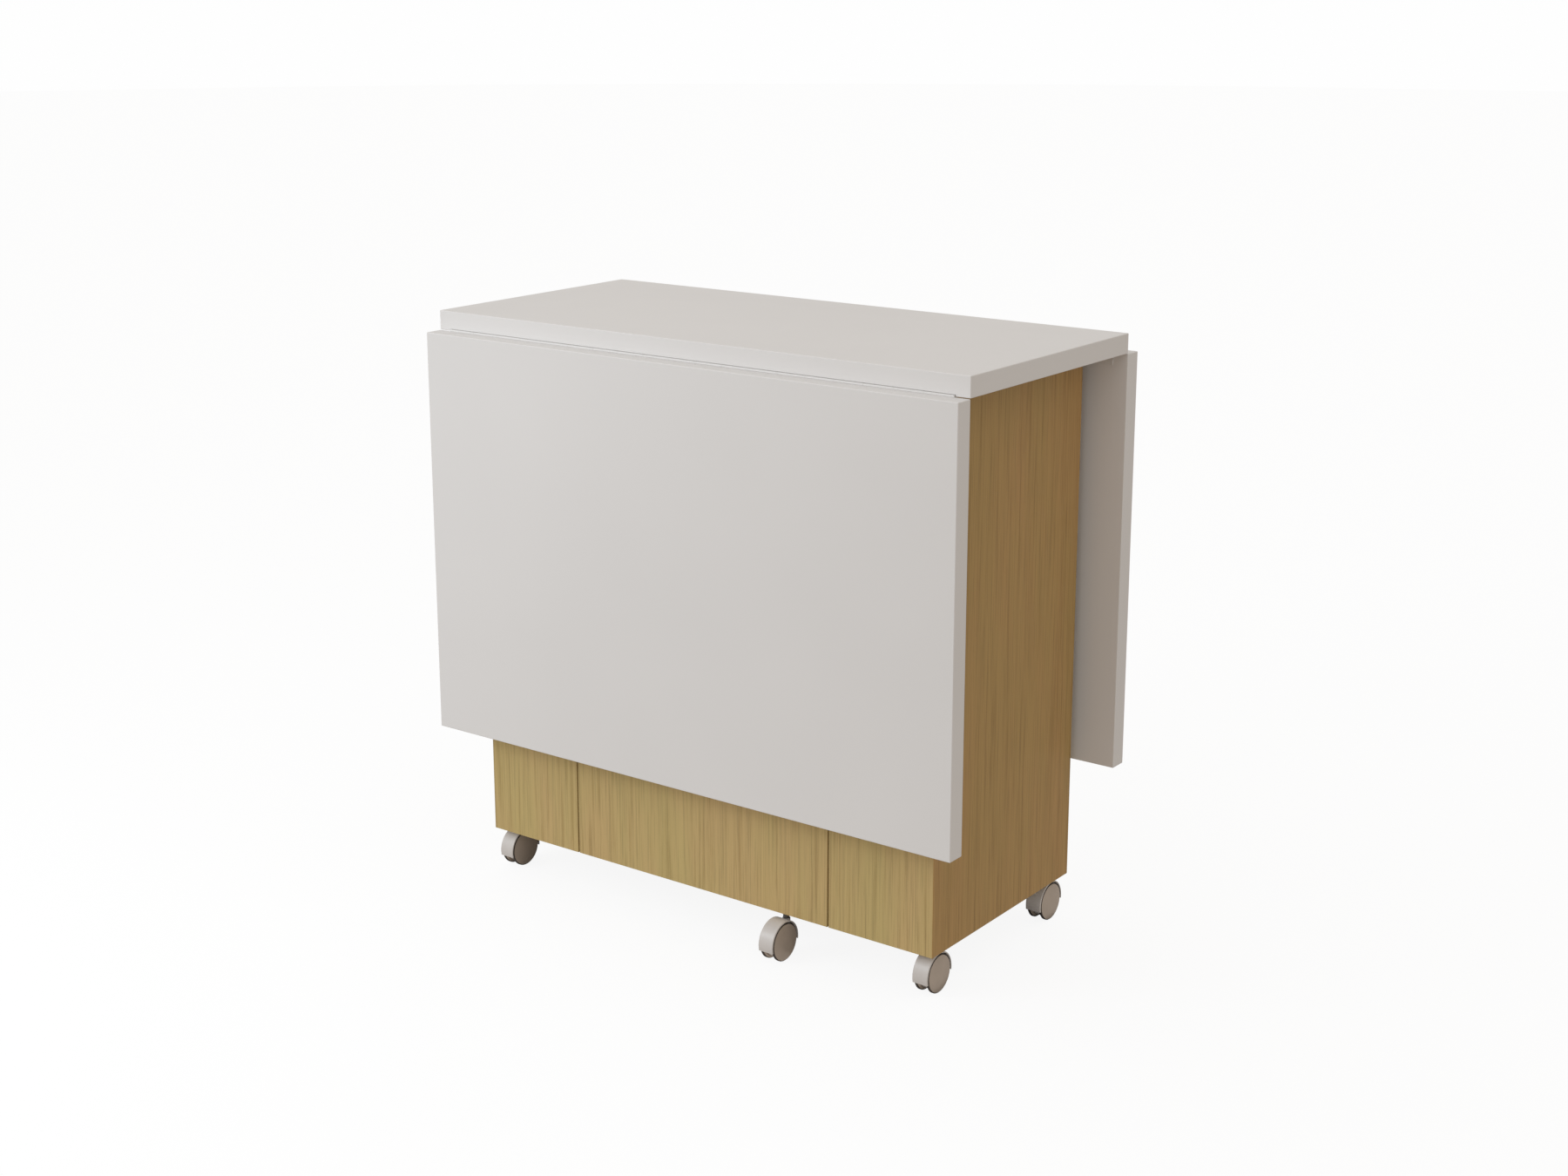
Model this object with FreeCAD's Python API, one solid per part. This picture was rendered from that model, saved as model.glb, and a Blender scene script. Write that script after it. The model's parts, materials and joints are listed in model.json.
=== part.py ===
import FreeCAD, Part
import math
import os

from FreeCAD import Vector

# Gateleg table on castors: a narrow closed cabinet under a fixed top, a drop leaf hinged to each long edge
# of the top, and in each long side of the cabinet a gate that swings out on its own castor to carry a leaf.
# Millimetres. Z is up from the floor, X runs along the table, the front is -Y. The origin is on the floor
# under the middle of the table. The rear leaf and the rear gate are the front ones turned half round.

# Table
TABLE_HEIGHT = 758.0
TOP_LENGTH = 800.0
TOP_DEPTH = 360.0
TOP_THICKNESS = 25.0
EDGE_ROUND = 1.0
LEAF_DROP = 530.0
LEAF_TOP_GAP = 0.5

# Cabinet
CABINET_LENGTH = 700.0
CABINET_DEPTH = 320.0
CABINET_BOTTOM = 56.0
END_THICKNESS = 36.0
BOARD = 16.0
RAIL_HEIGHT = 70.0

# Gates
GATE_WIDTH = 398.0
GATE_SIDE_GAP = 2.0
GATE_TOP_GAP = 2.0
GATE_CLOSING_GAP = 0.3
GATE_EDGE_ROUND = 0.5

# Long hinges of the leaves
LEAF_HINGE_LENGTH = 760.0
LEAF_HINGE_KNUCKLES = 19
LEAF_WING_WIDTH = 16.0
LEAF_WING_THICKNESS = 1.2
LEAF_KNUCKLE_RADIUS = 2.0
LEAF_PIN_RADIUS = 1.1
LEAF_COVE_END_ROOM = 1.0
LEAF_SCREW_PITCH = 100.0
LEAF_SCREWS = 8
LEAF_SCREW_LENGTH = 14.0

# Butt hinges of the gates
GATE_HINGE_HEIGHTS = (300.0, 460.0, 620.0)
GATE_HINGE_LENGTH = 60.0
GATE_HINGE_KNUCKLES = 5
GATE_WING_WIDTH = 16.5
GATE_WING_THICKNESS = 0.9
GATE_KNUCKLE_RADIUS = 2.5
GATE_PIN_RADIUS = 1.2
GATE_SCREW_SPREAD = 15.0
GATE_SCREW_LENGTH = 16.0

# Fits shared by the hinges and castors
RUNNING_FIT = 0.05
KNUCKLE_END_GAP = 0.3
KNUCKLE_CLEARANCE = 0.4

# Screws and dowels
SCREW_RADIUS = 1.5
SCREW_HEAD_RADIUS = 2.7
SCREW_HEAD_DEPTH = 1.3
SCREW_POINT = 2.5
SCREW_POINT_RADIUS = 0.4
RECESS_WIDTH = 0.7
RECESS_LENGTH = 3.0
RECESS_DEPTH = 0.8
DOWEL_RADIUS = 4.0
DOWEL_LENGTH = 28.0
END_PANEL_DOWEL_YS = (-90.0, 0.0, 90.0)
SPINE_DOWEL_HEIGHTS = (150.0, 400.0, 650.0)
BASE_DOWEL_YS = (-60.0, 60.0)
STILE_TOP_DOWEL_XS = (230.0, 285.0)
STILE_DOWEL_HEIGHTS = (140.0, 340.0, 540.0, 700.0)

# Rubber stops that the hanging leaves rest against
BUMPER_RADIUS = 8.0
BUMPER_PEG_RADIUS = 3.0
BUMPER_PEG_LENGTH = 10.0
BUMPER_GAP = 0.3
BUMPER_ROUND = 1.5
BUMPER_X = 290.0
BUMPER_Z = 225.0

# Twin-wheel castors
WHEEL_RADIUS = 24.0
WHEEL_INNER_FACE = 4.6
WHEEL_INNER_RADIUS = 21.6
WHEEL_TREAD_START = 7.6
WHEEL_RIM_FACE = 10.4
WHEEL_ROUND = 0.6
WHEEL_GROOVE_OUTER = 23.3
WHEEL_GROOVE_INNER = 22.9
WHEEL_GROOVE_DEPTH = 0.9
WHEEL_CAP_FACE = 10.7
WHEEL_DOME_FACE = 12.5
WHEEL_BORE_END = 9.4
AXLE_RADIUS = 2.0
AXLE_LENGTH = 18.0
CASTOR_TRAIL = 16.3
HOOD_RADIUS = 27.2
HOOD_WALL = 1.6
HOOD_HALF_WIDTH = 10.7
HOOD_WEB_HALF = 4.0
HOOD_WEB_RADIUS = 20.0
HOOD_ROUND = 1.0
HOOD_FRONT_ANGLE = 13.5
HOOD_BACK_ANGLE = -8.0
COLLAR_RADIUS = 5.0
COLLAR_TOP = 48.2
STEM_RADIUS = 4.0
STEM_SHOULDER = 48.7
STEM_DEPTH = 30.0
SPIGOT_RADIUS = 2.6
SPIGOT_BOTTOM = 32.0
SPIGOT_BORE_BOTTOM = 31.5

# Where the castor stems stand
CORNER_STEM_X = 332.0
FRONT_STEM_Y = -115.0
REAR_STEM_Y = 149.0
GATE_STEM_X = 132.0

# Planes and lines that follow from these
TOP_UNDERSIDE = TABLE_HEIGHT - TOP_THICKNESS
LEAF_INNER_Y = -TOP_DEPTH / 2
CABINET_FRONT_Y = -CABINET_DEPTH / 2
BOARD_BACK_Y = CABINET_FRONT_Y + BOARD
END_OUTER_X = CABINET_LENGTH / 2
END_INNER_X = END_OUTER_X - END_THICKNESS
GATE_EDGE_X = GATE_WIDTH / 2
STILE_EDGE_X = GATE_EDGE_X + GATE_SIDE_GAP
GATE_HINGE_X = -(GATE_EDGE_X + GATE_SIDE_GAP / 2)
GATE_HINGE_Y = CABINET_FRONT_Y - GATE_KNUCKLE_RADIUS
GATE_THICKNESS = BOARD - GATE_CLOSING_GAP
GATE_MIDDLE_Y = CABINET_FRONT_Y + GATE_THICKNESS / 2
STILE_MIDDLE_Y = CABINET_FRONT_Y + BOARD / 2

X_AXIS = Vector(1, 0, 0)
Y_AXIS = Vector(0, 1, 0)
Z_AXIS = Vector(0, 0, 1)
ORIGIN = Vector(0, 0, 0)


def block(x_range, y_range, z_range):
    """A board between two planes along each axis."""
    low = Vector(min(x_range), min(y_range), min(z_range))
    high = Vector(max(x_range), max(y_range), max(z_range))
    size = high - low
    return Part.makeBox(size.x, size.y, size.z, low)


def rod(start, direction, radius, length):
    return Part.makeCylinder(radius, length, start, direction)


def turned(shape, angle, axis=Z_AXIS, centre=ORIGIN):
    """A copy turned about a line."""
    copy = shape.copy()
    copy.rotate(centre, axis, angle)
    return copy


def moved(shape, offset):
    copy = shape.copy()
    copy.translate(offset)
    return copy


def half_turn(shape):
    """The rear counterpart of a front piece."""
    return turned(shape, 180)


def both_sides(shapes):
    """Front pieces together with their rear counterparts."""
    return shapes + [half_turn(shape) for shape in shapes]


def drilled(board, rods):
    """The board with a hole for each rod that enters it."""
    entering = [rod_ for rod_ in rods if rod_.BoundBox.intersect(board.BoundBox)]
    return board.cut(entering) if entering else board


def group(shapes):
    return Part.makeCompound(shapes)


def revolved(profile_edges, angle=360):
    """The outline, drawn as (x along the axle, distance from the axle) in the XZ plane, spun about X."""
    face = Part.Face(Part.Wire(profile_edges))
    return face.revolve(ORIGIN, X_AXIS, angle)


def outline(points):
    """Straight edges through (x, radius) points, in order."""
    corners = [Vector(x, 0, radius) for x, radius in points]
    return [Part.LineSegment(a, b).toShape() for a, b in zip(corners, corners[1:])]


# ---------------------------------------------------------------- fasteners


def screw_blank(length):
    """A countersunk screw along +Z with its head's face at the origin, before the recess is pressed."""
    head = Part.makeCone(SCREW_HEAD_RADIUS, SCREW_RADIUS, SCREW_HEAD_DEPTH)
    shank_end = length - SCREW_POINT
    shank = rod(Vector(0, 0, SCREW_HEAD_DEPTH), Z_AXIS, SCREW_RADIUS, shank_end - SCREW_HEAD_DEPTH)
    tip = Part.makeCone(SCREW_RADIUS, SCREW_POINT_RADIUS, SCREW_POINT, Vector(0, 0, shank_end))
    return head.fuse([shank, tip]).removeSplitter()


def recessed(blank):
    """The screw with a cross recess in its head."""
    half, arm = RECESS_WIDTH / 2, RECESS_LENGTH / 2
    arms = [
        block((-arm, arm), (-half, half), (0, RECESS_DEPTH)),
        block((-half, half), (-arm, arm), (0, RECESS_DEPTH)),
    ]
    return blank.cut(arms)


def screw_row(length, direction, places):
    """Screws along a direction at each place: the finished ones, and the blanks that cut their holes."""
    blank = screw_blank(length)
    screw = recessed(blank)
    turn = FreeCAD.Rotation(Z_AXIS, direction)
    screws, holes = [], []
    for place in places:
        seat = FreeCAD.Placement(place, turn)
        for source, row in ((screw, screws), (blank, holes)):
            copy = source.copy()
            copy.Placement = seat
            row.append(copy)
    return screws, holes


def end_dowel(x_side, y, z):
    """A dowel across the inner face of an end panel."""
    middle = x_side * END_INNER_X
    return rod(Vector(middle - DOWEL_LENGTH / 2, y, z), X_AXIS, DOWEL_RADIUS, DOWEL_LENGTH)


def top_dowel(x, y):
    """A dowel from an upright board into the underside of the top."""
    return rod(Vector(x, y, TOP_UNDERSIDE - DOWEL_LENGTH / 2), Z_AXIS, DOWEL_RADIUS, DOWEL_LENGTH)


def cabinet_dowels():
    end_middle_x = (END_INNER_X + END_OUTER_X) / 2
    rail_middle_y = BOARD_BACK_Y + BOARD / 2
    dowels = []
    for side in (-1, 1):
        dowels += [top_dowel(side * end_middle_x, y) for y in END_PANEL_DOWEL_YS]
        dowels += [end_dowel(side, 0, z) for z in SPINE_DOWEL_HEIGHTS]
        dowels += [end_dowel(side, y, CABINET_BOTTOM + BOARD / 2) for y in BASE_DOWEL_YS]
        for face in (-1, 1):
            stile_y = face * abs(STILE_MIDDLE_Y)
            dowels += [top_dowel(side * x, stile_y) for x in STILE_TOP_DOWEL_XS]
            dowels += [end_dowel(side, stile_y, z) for z in STILE_DOWEL_HEIGHTS]
            dowels.append(end_dowel(side, face * abs(rail_middle_y), TOP_UNDERSIDE - RAIL_HEIGHT / 2))
    return dowels


# ---------------------------------------------------------------- hinges


def knuckle_spans(length, count):
    """Start and end of each knuckle along a hinge, with a small gap between neighbours."""
    pitch = length / count
    start = -length / 2
    half_gap = KNUCKLE_END_GAP / 2
    return [(start + i * pitch + half_gap, start + (i + 1) * pitch - half_gap) for i in range(count)]


def hinge_wing(plate, length, count, own, knuckle_radius, bore_radius):
    """A hinge wing along X with its pin line on the X axis.

    plate is the flat plate. own is 0 when this wing has the even knuckles and 1 when it has the odd ones;
    the plate is cut back around the knuckles of the other wing.
    """
    keep, clear = [], []
    for i, (start, end) in enumerate(knuckle_spans(length, count)):
        if i % 2 == own:
            keep.append(rod(Vector(start, 0, 0), X_AXIS, knuckle_radius, end - start))
        else:
            room = KNUCKLE_END_GAP
            place = Vector(start - room, 0, 0)
            clear.append(rod(place, X_AXIS, knuckle_radius + KNUCKLE_CLEARANCE, end - start + 2 * room))
    bore = rod(Vector(-length, 0, 0), X_AXIS, bore_radius, 2 * length)
    return plate.cut(clear).fuse(keep).cut(bore).removeSplitter()


def leaf_hinge_wing(own, bore_radius):
    """One wing of a long leaf hinge, lying under the top with the pin line on the X axis."""
    half = LEAF_HINGE_LENGTH / 2 - KNUCKLE_END_GAP / 2
    plate = block((-half, half), (0, LEAF_WING_WIDTH), (-LEAF_WING_THICKNESS, 0))
    return hinge_wing(plate, LEAF_HINGE_LENGTH, LEAF_HINGE_KNUCKLES, own, LEAF_KNUCKLE_RADIUS, bore_radius)


def leaf_hinge_line():
    return Vector(0, LEAF_INNER_Y, TOP_UNDERSIDE)


def front_top_wing():
    return moved(leaf_hinge_wing(0, LEAF_PIN_RADIUS), leaf_hinge_line())


def front_leaf_wing():
    """The leaf's wing, folded down flat on the inner face of the hanging leaf."""
    flat = leaf_hinge_wing(1, LEAF_PIN_RADIUS + RUNNING_FIT)
    mirrored = flat.mirror(ORIGIN, Y_AXIS)
    hanging = turned(mirrored, 90, X_AXIS)
    return moved(hanging, leaf_hinge_line())


def front_leaf_pin():
    start = leaf_hinge_line() - Vector(LEAF_HINGE_LENGTH / 2, 0, 0)
    return rod(start, X_AXIS, LEAF_PIN_RADIUS, LEAF_HINGE_LENGTH)


def leaf_hinge_cove():
    """The quarter round that keeps the top and the leaf clear of the knuckles."""
    length = LEAF_HINGE_LENGTH + 2 * LEAF_COVE_END_ROOM
    start = leaf_hinge_line() - Vector(length / 2, 0, 0)
    return rod(start, X_AXIS, LEAF_KNUCKLE_RADIUS + KNUCKLE_CLEARANCE, length)


def leaf_screw_xs():
    first = -LEAF_SCREW_PITCH * (LEAF_SCREWS - 1) / 2
    return [first + i * LEAF_SCREW_PITCH for i in range(LEAF_SCREWS)]


def leaf_screw_inset():
    """How far the screws stand from the pin line."""
    return (LEAF_WING_WIDTH + LEAF_KNUCKLE_RADIUS) / 2


def top_wing_screws():
    y = LEAF_INNER_Y + leaf_screw_inset()
    z = TOP_UNDERSIDE - LEAF_WING_THICKNESS
    return screw_row(LEAF_SCREW_LENGTH, Z_AXIS, [Vector(x, y, z) for x in leaf_screw_xs()])


def leaf_wing_screws():
    y = LEAF_INNER_Y + LEAF_WING_THICKNESS
    z = TOP_UNDERSIDE - leaf_screw_inset()
    return screw_row(LEAF_SCREW_LENGTH, -Y_AXIS, [Vector(x, y, z) for x in leaf_screw_xs()])


def gate_wing(own, side, bore_radius):
    """One wing of a gate's butt hinge, upright in the gap beside the gate with the pin on the Z axis.

    side is -1 for the wing on the fixed stile and 1 for the wing on the gate.
    """
    half = GATE_HINGE_LENGTH / 2 - KNUCKLE_END_GAP / 2
    inner = GATE_SIDE_GAP / 2 - GATE_WING_THICKNESS
    outer = GATE_SIDE_GAP / 2
    plate = block((-half, half), (0, GATE_WING_WIDTH), (side * inner, side * outer))
    lying = hinge_wing(plate, GATE_HINGE_LENGTH, GATE_HINGE_KNUCKLES, own, GATE_KNUCKLE_RADIUS, bore_radius)
    return turned(lying, 90, Y_AXIS)


def gate_hinge_places():
    return [Vector(GATE_HINGE_X, GATE_HINGE_Y, z) for z in GATE_HINGE_HEIGHTS]


def fixed_gate_wings():
    # turning the wing upright takes the plate from the +Z side to the +X side
    wing = gate_wing(0, -1, GATE_PIN_RADIUS)
    return [moved(wing, place) for place in gate_hinge_places()]


def moving_gate_wings():
    wing = gate_wing(1, 1, GATE_PIN_RADIUS + RUNNING_FIT)
    return [moved(wing, place) for place in gate_hinge_places()]


def gate_hinge_pins():
    half = Vector(0, 0, GATE_HINGE_LENGTH / 2)
    return [rod(place - half, Z_AXIS, GATE_PIN_RADIUS, GATE_HINGE_LENGTH) for place in gate_hinge_places()]


def gate_hinge_screws(side):
    """The screws of one wing of each gate hinge: side is -1 into the stile and 1 into the gate."""
    gap_face = GATE_SIDE_GAP / 2 - GATE_WING_THICKNESS
    x = GATE_HINGE_X + side * gap_face
    heights = [z + step * GATE_SCREW_SPREAD for z in GATE_HINGE_HEIGHTS for step in (-1, 1)]
    places = [Vector(x, STILE_MIDDLE_Y, z) for z in heights]
    return screw_row(GATE_SCREW_LENGTH, side * X_AXIS, places)


# ---------------------------------------------------------------- boards


def rounded_board(x_range, y_range, z_range, radius):
    board = block(x_range, y_range, z_range)
    return board.makeFillet(radius, board.Edges)


def table_top(holes):
    board = rounded_board(
        (-TOP_LENGTH / 2, TOP_LENGTH / 2), (-TOP_DEPTH / 2, TOP_DEPTH / 2), (TOP_UNDERSIDE, TABLE_HEIGHT),
        EDGE_ROUND,
    )
    return drilled(board, holes + both_sides([leaf_hinge_cove()]))


def front_leaf(holes):
    """The hanging leaf, its inner face in line with the front edge of the top."""
    board = rounded_board(
        (-TOP_LENGTH / 2, TOP_LENGTH / 2), (LEAF_INNER_Y - TOP_THICKNESS, LEAF_INNER_Y),
        (TOP_UNDERSIDE - LEAF_DROP, TOP_UNDERSIDE - LEAF_TOP_GAP), EDGE_ROUND,
    )
    return drilled(board, holes + [leaf_hinge_cove()])


def end_panel(side, holes):
    board = block(
        (side * END_INNER_X, side * END_OUTER_X), (-CABINET_DEPTH / 2, CABINET_DEPTH / 2),
        (CABINET_BOTTOM, TOP_UNDERSIDE),
    )
    corners = [
        edge for edge in board.Edges
        if edge.BoundBox.ZLength > TOP_THICKNESS and abs(edge.CenterOfMass.x) > END_OUTER_X - 1
    ]
    return drilled(board.makeFillet(EDGE_ROUND, corners), holes)


def stile(side, face, holes):
    """The fixed upright board between an end panel and a gate: face is -1 at the front, 1 at the rear."""
    board = block(
        (side * STILE_EDGE_X, side * END_INNER_X), (face * CABINET_DEPTH / 2, face * abs(BOARD_BACK_Y)),
        (CABINET_BOTTOM, TOP_UNDERSIDE),
    )
    return drilled(board, holes)


def base_panel(holes):
    board = block(
        (-END_INNER_X, END_INNER_X), (BOARD_BACK_Y, -BOARD_BACK_Y), (CABINET_BOTTOM, CABINET_BOTTOM + BOARD)
    )
    return drilled(board, holes)


def spine_panel(holes):
    """The upright middle wall that carries the top between the two gates."""
    board = block(
        (-END_INNER_X, END_INNER_X), (-BOARD / 2, BOARD / 2), (CABINET_BOTTOM + BOARD, TOP_UNDERSIDE)
    )
    return drilled(board, holes)


def top_rail(face, holes):
    """The rail under the top that the closed gate stops against."""
    front = abs(BOARD_BACK_Y)
    board = block(
        (-END_INNER_X, END_INNER_X), (face * (front - BOARD), face * front),
        (TOP_UNDERSIDE - RAIL_HEIGHT, TOP_UNDERSIDE),
    )
    return drilled(board, holes)


def front_gate(holes):
    board = block(
        (-GATE_EDGE_X, GATE_EDGE_X), (CABINET_FRONT_Y, CABINET_FRONT_Y + GATE_THICKNESS),
        (CABINET_BOTTOM, TOP_UNDERSIDE - GATE_TOP_GAP),
    )
    uprights = [edge for edge in board.Edges if edge.BoundBox.ZLength > TOP_THICKNESS]
    return drilled(board.makeFillet(GATE_EDGE_ROUND, uprights), holes)


def leaf_bumper(x):
    """A rubber stop on a stile, with its peg in the board."""
    length = CABINET_FRONT_Y - LEAF_INNER_Y - BUMPER_GAP
    pad = rod(Vector(x, CABINET_FRONT_Y, BUMPER_Z), -Y_AXIS, BUMPER_RADIUS, length)
    nose = [edge for edge in pad.Edges if edge.CenterOfMass.y < CABINET_FRONT_Y - length + 1 and edge.Closed]
    pad = pad.makeFillet(BUMPER_ROUND, nose)
    return pad.fuse(bumper_peg(x))


def bumper_peg(x):
    return rod(Vector(x, CABINET_FRONT_Y, BUMPER_Z), Y_AXIS, BUMPER_PEG_RADIUS, BUMPER_PEG_LENGTH)


# ---------------------------------------------------------------- castors


def axle_centre():
    """The middle of the axle of a castor whose stem stands on the origin."""
    return Vector(0, -CASTOR_TRAIL, WHEEL_RADIUS)


def castor_hood():
    """The hood over both wheels, the web between them and the collar that turns on the stem."""
    inner = HOOD_RADIUS - HOOD_WALL
    shoulder = HOOD_HALF_WIDTH - HOOD_ROUND
    corner_mid = HOOD_ROUND * math.sqrt(0.5)
    right_corner = Part.Arc(
        Vector(HOOD_HALF_WIDTH, 0, HOOD_RADIUS - HOOD_ROUND),
        Vector(shoulder + corner_mid, 0, HOOD_RADIUS - HOOD_ROUND + corner_mid),
        Vector(shoulder, 0, HOOD_RADIUS),
    ).toShape()
    left_corner = Part.Arc(
        Vector(-shoulder, 0, HOOD_RADIUS),
        Vector(-shoulder - corner_mid, 0, HOOD_RADIUS - HOOD_ROUND + corner_mid),
        Vector(-HOOD_HALF_WIDTH, 0, HOOD_RADIUS - HOOD_ROUND),
    ).toShape()
    under = outline([
        (-HOOD_HALF_WIDTH, HOOD_RADIUS - HOOD_ROUND), (-HOOD_HALF_WIDTH, inner), (-HOOD_WEB_HALF, inner),
        (-HOOD_WEB_HALF, 0), (HOOD_WEB_HALF, 0), (HOOD_WEB_HALF, inner), (HOOD_HALF_WIDTH, inner),
        (HOOD_HALF_WIDTH, HOOD_RADIUS - HOOD_ROUND),
    ])
    crown = outline([(shoulder, HOOD_RADIUS), (-shoulder, HOOD_RADIUS)])
    cover = revolved(under + [right_corner] + crown + [left_corner], 180 + HOOD_FRONT_ANGLE - HOOD_BACK_ANGLE)
    cover = moved(turned(cover, HOOD_BACK_ANGLE - 90, X_AXIS), axle_centre())

    web = rod(axle_centre() - Vector(HOOD_WEB_HALF, 0, 0), X_AXIS, HOOD_WEB_RADIUS, 2 * HOOD_WEB_HALF)
    collar = rod(Vector(0, 0, WHEEL_RADIUS), Z_AXIS, COLLAR_RADIUS, COLLAR_TOP - WHEEL_RADIUS)
    wheel_wells = [
        rod(axle_centre() + Vector(side * HOOD_WEB_HALF, 0, 0), side * X_AXIS, inner, 2 * HOOD_HALF_WIDTH)
        for side in (-1, 1)
    ]
    solid = cover.fuse([web, collar.cut(wheel_wells)])
    stem_bore = rod(
        Vector(0, 0, SPIGOT_BORE_BOTTOM), Z_AXIS, SPIGOT_RADIUS + RUNNING_FIT, COLLAR_TOP - SPIGOT_BORE_BOTTOM
    )
    return solid.cut([stem_bore, castor_axle()]).removeSplitter()


def castor_axle():
    return rod(axle_centre() - Vector(AXLE_LENGTH / 2, 0, 0), X_AXIS, AXLE_RADIUS, AXLE_LENGTH)


def castor_wheel(side):
    """A wheel with its tread and its domed cap: side is -1 for the left wheel and 1 for the right."""
    tread = rod(Vector(WHEEL_TREAD_START, 0, 0), X_AXIS, WHEEL_RADIUS, WHEEL_RIM_FACE - WHEEL_TREAD_START)
    rim_from = WHEEL_RIM_FACE - WHEEL_ROUND
    rim = [edge for edge in tread.Edges if edge.Closed and edge.CenterOfMass.x > rim_from]
    tread = tread.makeChamfer(WHEEL_ROUND, rim)
    hub_side = Part.makeCone(
        WHEEL_INNER_RADIUS, WHEEL_RADIUS, WHEEL_TREAD_START - WHEEL_INNER_FACE,
        Vector(WHEEL_INNER_FACE, 0, 0), X_AXIS,
    )
    groove_floor = Vector(WHEEL_RIM_FACE - WHEEL_GROOVE_DEPTH, 0, 0)
    groove = rod(groove_floor, X_AXIS, WHEEL_GROOVE_OUTER, 2 * WHEEL_GROOVE_DEPTH)
    cap = rod(groove_floor, X_AXIS, WHEEL_GROOVE_INNER, WHEEL_DOME_FACE - groove_floor.x)
    wheel = tread.fuse(hub_side).cut(groove).fuse(cap.common(wheel_dome()))
    bore = rod(ORIGIN, X_AXIS, AXLE_RADIUS + RUNNING_FIT, WHEEL_BORE_END)
    wheel = wheel.cut(bore).removeSplitter()
    if side < 0:
        wheel = turned(wheel, 180)
    return moved(wheel, axle_centre())


def wheel_dome():
    """The ball whose surface domes the cap, turned so that its seam lies away from the cap."""
    rise = WHEEL_DOME_FACE - WHEEL_CAP_FACE
    radius = (WHEEL_GROOVE_INNER ** 2 + rise ** 2) / (2 * rise)
    ball = turned(Part.makeSphere(radius), 180)
    return moved(ball, Vector(WHEEL_DOME_FACE - radius, 0, 0))


def castor_stem():
    """The steel stem: a spigot that the hood turns on, and above its shoulder the part held in the board."""
    spigot = rod(Vector(0, 0, SPIGOT_BOTTOM), Z_AXIS, SPIGOT_RADIUS, STEM_SHOULDER - SPIGOT_BOTTOM)
    top = CABINET_BOTTOM + STEM_DEPTH
    return spigot.fuse(rod(Vector(0, 0, STEM_SHOULDER), Z_AXIS, STEM_RADIUS, top - STEM_SHOULDER))


def corner_stem_places():
    return {
        "front_left": Vector(-CORNER_STEM_X, FRONT_STEM_Y, 0),
        "front_right": Vector(CORNER_STEM_X, FRONT_STEM_Y, 0),
        "rear_left": Vector(-CORNER_STEM_X, REAR_STEM_Y, 0),
        "rear_right": Vector(CORNER_STEM_X, REAR_STEM_Y, 0),
    }


def gate_stem_places():
    return {
        "front_gate": Vector(GATE_STEM_X, GATE_MIDDLE_Y, 0),
        "rear_gate": Vector(-GATE_STEM_X, -GATE_MIDDLE_Y, 0),
    }


# ---------------------------------------------------------------- the table


def cabinet_nodes():
    """Everything that stands still: the top, the cabinet's boards and what is fixed to them."""
    dowels = cabinet_dowels()
    stems = [moved(castor_stem(), place) for place in corner_stem_places().values()]
    top_screws, top_screw_holes = top_wing_screws()
    stile_screws, stile_screw_holes = gate_hinge_screws(-1)
    top_holes = both_sides(top_screw_holes)
    pegs = [bumper_peg(-BUMPER_X), bumper_peg(BUMPER_X)]
    stile_holes = dowels + both_sides(stile_screw_holes + pegs)
    fixed_wings = [drilled(wing, stile_screw_holes) for wing in fixed_gate_wings()]
    top_wing = drilled(front_top_wing(), top_screw_holes)
    nodes = {
        "table_top": table_top(dowels + top_holes),
        "left_end_panel": end_panel(-1, dowels + stems),
        "right_end_panel": end_panel(1, dowels + stems),
        "base_panel": base_panel(dowels),
        "spine_panel": spine_panel(dowels),
        "front_top_rail": top_rail(-1, dowels),
        "rear_top_rail": top_rail(1, dowels),
        "cabinet_dowels": group(dowels),
        "front_hinge_top_wing": top_wing,
        "rear_hinge_top_wing": half_turn(top_wing),
        "leaf_hinge_pins": group(both_sides([front_leaf_pin()])),
        "top_wing_screws": group(both_sides(top_screws)),
        "gate_hinge_fixed_wings": group(both_sides(fixed_wings)),
        "gate_hinge_pins": group(both_sides(gate_hinge_pins())),
        "gate_hinge_stile_screws": group(both_sides(stile_screws)),
        "leaf_bumpers": group(both_sides([leaf_bumper(-BUMPER_X), leaf_bumper(BUMPER_X)])),
        "corner_castor_stems": group(stems),
    }
    for face, face_name in ((-1, "front"), (1, "rear")):
        for side, side_name in ((-1, "left"), (1, "right")):
            nodes[f"{face_name}_{side_name}_stile"] = stile(side, face, stile_holes)
    return nodes


def leaf_nodes():
    screws, holes = leaf_wing_screws()
    front = {
        "leaf": front_leaf(holes),
        "hinge_leaf_wing": drilled(front_leaf_wing(), holes),
        "leaf_wing_screws": group(screws),
    }
    return paired(front)


def gate_nodes():
    screws, holes = gate_hinge_screws(1)
    stem = moved(castor_stem(), gate_stem_places()["front_gate"])
    front = {
        "gate": front_gate(holes + [stem]),
        "gate_hinge_wings": group([drilled(wing, holes) for wing in moving_gate_wings()]),
        "gate_hinge_screws": group(screws),
        "gate_castor_stem": stem,
    }
    return paired(front)


def paired(front):
    """Named front pieces, and the same pieces turned half round for the rear."""
    nodes = {f"front_{name}": shape for name, shape in front.items()}
    nodes.update({f"rear_{name}": half_turn(shape) for name, shape in front.items()})
    return nodes


def castor_nodes():
    pieces = {
        "hood": castor_hood(),
        "axle": castor_axle(),
        "left_wheel": castor_wheel(-1),
        "right_wheel": castor_wheel(1),
    }
    places = {**corner_stem_places(), **gate_stem_places()}
    return {
        f"{castor}_castor_{piece}": moved(shape, place)
        for castor, place in places.items()
        for piece, shape in pieces.items()
    }


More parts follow.
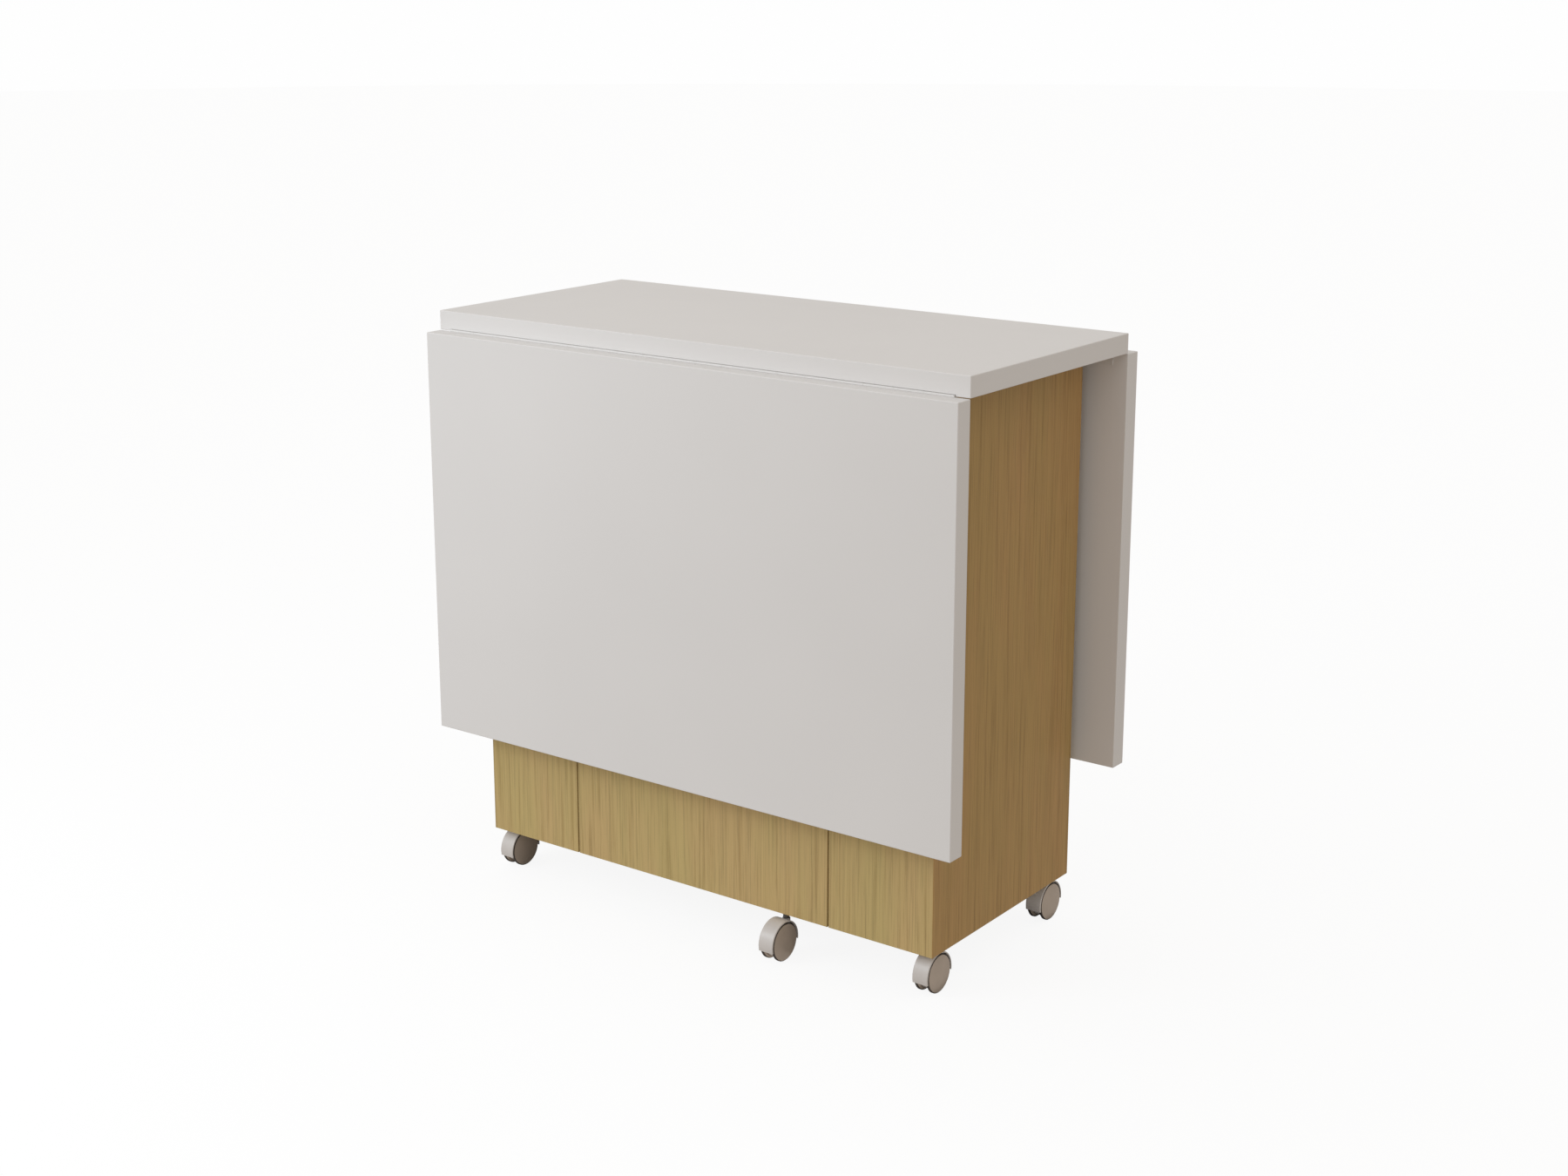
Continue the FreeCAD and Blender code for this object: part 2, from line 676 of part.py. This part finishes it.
def main():
    os.makedirs("parts", exist_ok=True)
    nodes = {**cabinet_nodes(), **leaf_nodes(), **gate_nodes(), **castor_nodes()}
    for name, shape in nodes.items():
        shape.exportStep(os.path.join("parts", f"{name}.step"))
        print(f"{name}: {len(shape.Solids)} solids, {shape.Volume / 1000:.1f} cm3, valid {shape.isValid()}")


main()
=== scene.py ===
import json
import math

import bpy
from mathutils import Euler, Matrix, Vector


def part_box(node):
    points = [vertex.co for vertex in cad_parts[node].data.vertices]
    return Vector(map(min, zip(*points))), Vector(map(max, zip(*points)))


# A gateleg table on castors in a white studio. Metres, Z up, the front of the table towards -Y.

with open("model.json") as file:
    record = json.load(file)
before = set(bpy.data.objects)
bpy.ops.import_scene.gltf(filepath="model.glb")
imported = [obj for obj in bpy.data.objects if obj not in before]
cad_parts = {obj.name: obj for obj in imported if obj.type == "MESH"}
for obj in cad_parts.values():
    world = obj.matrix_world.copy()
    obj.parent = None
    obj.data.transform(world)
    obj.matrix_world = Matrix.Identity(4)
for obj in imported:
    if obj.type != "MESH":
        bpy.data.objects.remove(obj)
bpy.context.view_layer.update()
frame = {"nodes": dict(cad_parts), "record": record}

# Camera: where it stands, how far it looks down and round in degrees, its lens and sensor in mm, its lens
# shift as a share of the picture's width, and how far it sees
CAMERA_PLACE = (1.6677, -2.2436, 1.1956)
CAMERA_PITCH = 13.65
CAMERA_YAW = 36.353
CAMERA_LENS = 52.02
CAMERA_SENSOR = 36.0
CAMERA_SHIFT = -0.05
CAMERA_REACH = 100.0

# Colours, linear. The oak's grain is multiplied by the olive and brown colours, and on the end panels'
# outer faces also by a painted side shade.
WHITE = (1.0, 1.0, 1.0)
GREY = (0.74, 0.717, 0.7)
OAK_LIGHT = (0.575, 0.415, 0.185)
OAK_DARK = (0.33, 0.215, 0.075)
OAK_OLIVE = (0.945, 0.985, 0.9)
OAK_BROWN = (1.0, 0.975, 0.95)
# Painted shade: a darker, browner tint for the end panels' outer faces, standing in for the shade on those
# sides
SIDE_SHADE_TINT = (0.83, 0.7, 0.58)
BEECH = (0.52, 0.36, 0.2)
STEEL = (0.17, 0.16, 0.155)
PALE_METAL = (0.72, 0.7, 0.68)
HOOD_PLASTIC = (0.62, 0.58, 0.55)
WHEEL_PLASTIC = (0.47, 0.395, 0.33)
TREAD = (0.055, 0.045, 0.04)
RUBBER = (0.03, 0.03, 0.03)

# Castor wheel: the radius at which its cap ends and its tread begins, and the axes of the plane it rolls in
TREAD_INNER_RADIUS = 0.0231
WHEEL_PLANE = (0, 1, 1)

# The end panels' outer faces, which get the painted side shade, lie further from the middle than this
SHADED_SIDES_FROM = 0.3495

# Light of the room: the side that it is brightest from, its colour from there, from the opposite side and
# from below the horizon, and half the height of the soft band at the horizon
BRIGHT_SIDE = (-0.64, -0.77, 0.0)
BRIGHT_LIGHT = (0.98, 0.98, 0.98)
DIM_LIGHT = (0.6, 0.56, 0.51)
LOW_LIGHT = (0.42, 0.38, 0.34)
HORIZON_BAND = 0.1

# Key lamp: a square at the front left. Power in watts
KEY_PLACE = (-1.06, -1.68, 1.1)
KEY_TARGET = (-0.3, -0.2, 0.5)
KEY_SIZE = 0.8
KEY_POWER = 11.0
KEY_COLOUR = (0.83, 0.92, 1.0)

# Floor and backdrop, both white by their own glow, and the dark sheet of painted shade under the table,
# centred on it
FLOOR_GLOW = 0.9
BACKDROP_GLOW = 0.992
BACKDROP_RADIUS = 20.0
SHADE_CORNER = (0.35, 0.15)
SHADE_HEIGHT = -0.0005
SHADE_COLOUR = (0.05, 0.045, 0.04)


def scaled(colour, factor):
    return tuple(part * factor for part in colour)


class Nodes:
    """Adds nodes to a shader tree. An input is fed with a constant or with another node's output."""

    def __init__(self, tree):
        self.tree = tree

    def feed(self, socket, value):
        if isinstance(value, bpy.types.NodeSocket):
            self.tree.links.new(value, socket)
        elif socket.type == "RGBA":
            socket.default_value = (*value, 1)
        else:
            socket.default_value = value

    def add(self, kind, inputs=None, **settings):
        """A new node, its inputs given by name or by number."""
        node = self.tree.nodes.new(kind)
        for key, value in settings.items():
            setattr(node, key, value)
        for key, value in (inputs or {}).items():
            self.feed(node.inputs[key], value)
        return node

    def maths(self, operation, *values):
        """A calculation with numbers."""
        return self.add("ShaderNodeMath", dict(enumerate(values)), operation=operation).outputs["Value"]

    def vector_maths(self, operation, *values, output="Vector"):
        """A calculation with vectors; its output is "Value" where it gives a number."""
        node = self.add("ShaderNodeVectorMath", dict(enumerate(values)), operation=operation)
        return node.outputs[output]

    def along(self, axis, vector):
        """One coordinate of a vector."""
        return self.add("ShaderNodeSeparateXYZ", {"Vector": vector}).outputs[axis]

    def mapped(self, value, low=0.0, high=1.0, start=0.0, end=1.0):
        """A value carried from start..end to low..high."""
        limits = {"From Min": start, "From Max": end, "To Min": low, "To Max": high}
        return self.add("ShaderNodeMapRange", {"Value": value, **limits}).outputs["Result"]

    def mix(self, factor, first, second, blend="MIX"):
        """Two colours mixed."""
        inputs = {"Fac": factor, "Color1": first, "Color2": second}
        return self.add("ShaderNodeMixRGB", inputs, blend_type=blend).outputs["Color"]


class Surface(Nodes):
    """The nodes of a new material whose patterns keep to the piece that they are on."""

    def __init__(self, name):
        self.material = bpy.data.materials.new(name)
        self.material.use_nodes = True
        super().__init__(self.material.node_tree)
        self.place = self.add("ShaderNodeTexCoord").outputs["Object"]

    def noise(self, scale, stretch=(1, 1, 1), detail=4.0, roughness=0.5):
        """Cloudy noise; an axis with a small stretch factor has its patches drawn out along it."""
        place = self.add("ShaderNodeMapping", {"Vector": self.place, "Scale": stretch}).outputs["Vector"]
        inputs = {"Vector": place, "Scale": scale, "Detail": detail, "Roughness": roughness}
        return self.add("ShaderNodeTexNoise", inputs).outputs["Fac"]

    def ramp(self, value, *stops):
        """A colour that follows a value; each stop is (place, colour)."""
        node = self.add("ShaderNodeValToRGB", {"Fac": value})
        elements = node.color_ramp.elements
        while len(elements) < len(stops):
            elements.new(0.5)
        for element, (place, colour) in zip(elements, stops):
            element.position = place
            element.color = (*colour, 1)
        return node.outputs["Color"]

    def shades(self, value, colour, dark, light, places=(0.3, 0.7)):
        """A colour times dark at the first place along a value, times light at the second."""
        return self.ramp(value, (places[0], scaled(colour, dark)), (places[1], scaled(colour, light)))

    def bump(self, height, distance, strength, below=None):
        """Fine relief, on top of the relief below if that is given."""
        inputs = {"Height": height, "Distance": distance, "Strength": strength}
        if below is not None:
            inputs["Normal"] = below
        return self.add("ShaderNodeBump", inputs).outputs["Normal"]

    def finish(self, colour, roughness, normal, specular=0.5, metallic=0.0):
        shader = self.tree.nodes["Principled BSDF"]
        self.feed(shader.inputs["Base Color"], colour)
        self.feed(shader.inputs["Roughness"], roughness)
        self.feed(shader.inputs["Normal"], normal)
        shader.inputs["Specular IOR Level"].default_value = specular
        shader.inputs["Metallic"].default_value = metallic
        return self.material


# ---------------------------------------------------------------- materials


def grey_laminate():
    """Matt warm-grey melamine: a faint cloud of tone and a fine pebble in the surface."""
    nodes = Surface("grey_laminate")
    cloud = nodes.noise(3.0, detail=3.0)
    pebble = nodes.noise(900.0, detail=2.0)
    smudge = nodes.noise(11.0, detail=5.0, roughness=0.6)
    return nodes.finish(
        nodes.shades(cloud, GREY, dark=0.985, light=1.015),
        nodes.mapped(smudge, low=0.42, high=0.54),
        nodes.bump(pebble, distance=0.00006, strength=0.35),
        specular=0.35,
    )


def on_shaded_side(nodes):
    """1 on the end panels' outer faces, where the painted side shade goes, 0 elsewhere."""
    from_middle = nodes.maths("ABSOLUTE", nodes.along("X", nodes.place))
    return nodes.maths("GREATER_THAN", from_middle, SHADED_SIDES_FROM)


def oak_laminate():
    """Light oak laminate: fine straight upright grain over soft olive and brown clouds, with a darker,
    browner painted shade on the end panels' outer faces.
    """
    nodes = Surface("oak_laminate")
    streaks = nodes.noise(230.0, stretch=(1, 1, 0.018), detail=5.0, roughness=0.72)
    hairs = nodes.noise(560.0, stretch=(1, 1, 0.016), detail=3.0, roughness=0.65)
    clouds = nodes.noise(16.0, stretch=(1, 1, 0.2), detail=3.0, roughness=0.55)
    grain = nodes.ramp(streaks, (0.36, OAK_DARK), (0.47, scaled(OAK_LIGHT, 0.9)), (0.64, OAK_LIGHT))
    tint = nodes.ramp(clouds, (0.38, OAK_OLIVE), (0.62, OAK_BROWN))
    hair_lines = nodes.shades(hairs, WHITE, dark=0.78, light=1.0, places=(0.36, 0.5))
    wood = nodes.mix(1.0, nodes.mix(0.45, grain, OAK_LIGHT), tint, "MULTIPLY")
    wood = nodes.mix(0.8, wood, hair_lines, "MULTIPLY")
    # Painted shade: the wood darkened and browned on the end panels' outer faces
    shaded_side_wood = nodes.mix(1.0, wood, SIDE_SHADE_TINT, "MULTIPLY")
    relief = nodes.bump(streaks, distance=0.00012, strength=0.3)
    return nodes.finish(
        nodes.mix(on_shaded_side(nodes), wood, shaded_side_wood),
        nodes.mapped(streaks, low=0.52, high=0.4),
        nodes.bump(hairs, distance=0.00006, strength=0.3, below=relief),
        specular=0.4,
    )


def beech():
    """Plain beech with fine drawn-out flecks."""
    nodes = Surface("beech")
    flecks = nodes.noise(300.0, stretch=(1, 1, 0.1), detail=4.0)
    return nodes.finish(
        nodes.shades(flecks, BEECH, dark=0.8, light=1.0, places=(0.35, 0.65)),
        nodes.mapped(flecks, low=0.6, high=0.75),
        nodes.bump(flecks, distance=0.0001, strength=0.3),
    )


def zinc_steel():
    """Dark zinc-plated steel, brushed upright."""
    nodes = Surface("zinc_steel")
    brushed = nodes.noise(700.0, stretch=(1, 1, 0.08), detail=4.0)
    return nodes.finish(
        nodes.shades(brushed, STEEL, dark=0.75, light=1.3),
        nodes.mapped(brushed, low=0.3, high=0.48),
        nodes.bump(brushed, distance=0.00004, strength=0.3),
        metallic=0.85,
    )


def pale_hinge_metal():
    """Metal under pale grey paint with a slight orange peel."""
    nodes = Surface("pale_hinge_metal")
    orange_peel = nodes.noise(600.0, detail=2.0)
    return nodes.finish(
        nodes.shades(orange_peel, PALE_METAL, dark=0.95, light=1.0),
        nodes.mapped(orange_peel, low=0.4, high=0.5),
        nodes.bump(orange_peel, distance=0.00005, strength=0.3),
    )


def castor_hood_plastic():
    """Light grey moulded plastic with faint flow marks and a fine skin."""
    nodes = Surface("castor_hood_plastic")
    flow = nodes.noise(40.0, stretch=(1, 1, 0.4), detail=3.0)
    skin = nodes.noise(1200.0, detail=2.0)
    return nodes.finish(
        nodes.shades(flow, HOOD_PLASTIC, dark=0.96, light=1.03),
        nodes.mapped(flow, low=0.3, high=0.42),
        nodes.bump(skin, distance=0.00004, strength=0.25),
    )


def castor_wheel_plastic(name, axle):
    """A moulded wheel: a taupe cap, and outside it a dark tread with fine scuffs round the axle."""
    nodes = Surface(name)
    from_axle = nodes.vector_maths("SUBTRACT", nodes.place, axle)
    spoke = nodes.vector_maths("MULTIPLY", from_axle, WHEEL_PLANE)
    radius = nodes.vector_maths("LENGTH", spoke, output="Value")
    on_tread = nodes.maths("GREATER_THAN", radius, TREAD_INNER_RADIUS)
    flow = nodes.noise(60.0, detail=3.0)
    scuffs = nodes.noise(500.0, stretch=(3, 1, 1), detail=5.0)
    cap = nodes.shades(flow, WHEEL_PLASTIC, dark=0.95, light=1.04)
    tread = nodes.shades(scuffs, TREAD, dark=0.7, light=1.8, places=(0.35, 0.7))
    return nodes.finish(
        nodes.mix(on_tread, cap, tread),
        nodes.mapped(on_tread, low=0.33, high=0.62),
        nodes.bump(scuffs, distance=0.00005, strength=0.25),
    )


def rubber():
    """Black rubber with a fine grit."""
    nodes = Surface("rubber")
    grit = nodes.noise(800.0, detail=4.0)
    return nodes.finish(
        nodes.shades(grit, RUBBER, dark=0.7, light=1.6),
        nodes.mapped(grit, low=0.65, high=0.85),
        nodes.bump(grit, distance=0.0001, strength=0.4),
    )


def dress_frame():
    """Gives each CAD node the material of its slot; each wheel has its own, centred on its axle."""
    makers = (grey_laminate, oak_laminate, beech, zinc_steel, pale_hinge_metal, castor_hood_plastic, rubber)
    shared = {maker.__name__: maker() for maker in makers}
    slot_of = {row["node"]: row["material_slot"] for row in frame["record"]["subparts"]}
    for name, node in frame["nodes"].items():
        slot = slot_of[name]
        if slot == "castor_wheel_plastic":
            low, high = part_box(name)
            material = castor_wheel_plastic(f"wheel_plastic_{name}", (Vector(low) + Vector(high)) / 2)
        else:
            material = shared[slot]
        node.data.materials.clear()
        node.data.materials.append(material)


# ---------------------------------------------------------------- studio


def seen_only_by_the_camera(thing):
    thing.visible_diffuse = False
    thing.visible_glossy = False
    thing.visible_transmission = False
    thing.visible_shadow = False


def glowing(name, glow, base):
    """A matt white that glows by itself; the brighter its base, the more it shows of light and shadow."""
    material = bpy.data.materials.new(name)
    material.use_nodes = True
    shader = material.node_tree.nodes["Principled BSDF"]
    shader.inputs["Base Color"].default_value = (base, base, base, 1)
    shader.inputs["Roughness"].default_value = 0.9
    shader.inputs["Specular IOR Level"].default_value = 0.0
    shader.inputs["Emission Color"].default_value = (*WHITE, 1)
    shader.inputs["Emission Strength"].default_value = glow
    return material


def flat_sheet(name, half_x, half_y, height, material):
    mesh = bpy.data.meshes.new(name)
    corners = [(-half_x, -half_y), (half_x, -half_y), (half_x, half_y), (-half_x, half_y)]
    mesh.from_pydata([(x, y, height) for x, y in corners], [], [(0, 1, 2, 3)])
    mesh.materials.append(material)
    sheet = bpy.data.objects.new(name, mesh)
    bpy.context.scene.collection.objects.link(sheet)
    return sheet


def plain_floor():
    """A white floor with a trace of shadow for the camera, and just under it a dark sheet of painted shade
    that the table's parts see.
    """
    white = glowing("studio_floor", FLOOR_GLOW, 1 - FLOOR_GLOW)
    seen_only_by_the_camera(flat_sheet("studio_floor", BACKDROP_RADIUS, BACKDROP_RADIUS, 0, white))
    # Painted shade: a dark sheet, hidden from the camera, that darkens the parts under the table as shade
    # would
    dim = bpy.data.materials.new("floor_shade")
    dim.use_nodes = True
    dim.node_tree.nodes["Principled BSDF"].inputs["Base Color"].default_value = (*SHADE_COLOUR, 1)
    flat_sheet("floor_shade", *SHADE_CORNER, SHADE_HEIGHT, dim).visible_camera = False


def white_backdrop():
    """A white dome all round, so the background is plain from every side."""
    bpy.ops.mesh.primitive_uv_sphere_add(segments=64, ring_count=32, radius=BACKDROP_RADIUS)
    dome = bpy.context.object
    dome.name = "studio_backdrop"
    dome.data.materials.append(glowing("studio_backdrop", BACKDROP_GLOW, 0.0))
    seen_only_by_the_camera(dome)


def room_light():
    """Soft light from the whole room, dimmer and warmer from behind and from below."""
    world = bpy.data.worlds.new("studio")
    world.use_nodes = True
    nodes = Nodes(world.node_tree)
    direction = nodes.add("ShaderNodeTexCoord").outputs["Generated"]
    towards_bright = nodes.vector_maths("DOT_PRODUCT", direction, BRIGHT_SIDE, output="Value")
    around = nodes.mix(nodes.mapped(towards_bright, start=-1.0), DIM_LIGHT, BRIGHT_LIGHT)
    above = nodes.mapped(nodes.along("Z", direction), start=-HORIZON_BAND, end=HORIZON_BAND)
    background = world.node_tree.nodes["Background"]
    nodes.feed(background.inputs["Color"], nodes.mix(above, LOW_LIGHT, around))
    bpy.context.scene.world = world


def key_light():
    """The lamp that gives the leaf and the top their soft fall of light."""
    light = bpy.data.lights.new("key", "AREA")
    light.size = KEY_SIZE
    light.energy = KEY_POWER
    light.color = KEY_COLOUR
    lamp = bpy.data.objects.new("key", light)
    lamp.location = KEY_PLACE
    lamp.rotation_euler = (Vector(KEY_TARGET) - Vector(KEY_PLACE)).to_track_quat("-Z", "Y").to_euler()
    bpy.context.scene.collection.objects.link(lamp)


def camera():
    data = bpy.data.cameras.new("camera")
    data.lens = CAMERA_LENS
    data.sensor_width = CAMERA_SENSOR
    data.shift_y = CAMERA_SHIFT
    data.clip_end = CAMERA_REACH
    view = bpy.data.objects.new("camera", data)
    view.location = CAMERA_PLACE
    view.rotation_euler = Euler((math.radians(90 - CAMERA_PITCH), 0, math.radians(CAMERA_YAW)))
    bpy.context.scene.collection.objects.link(view)
    bpy.context.scene.camera = view


dress_frame()
plain_floor()
white_backdrop()
room_light()
key_light()
camera()
bpy.context.scene.view_settings.view_transform = "Standard"
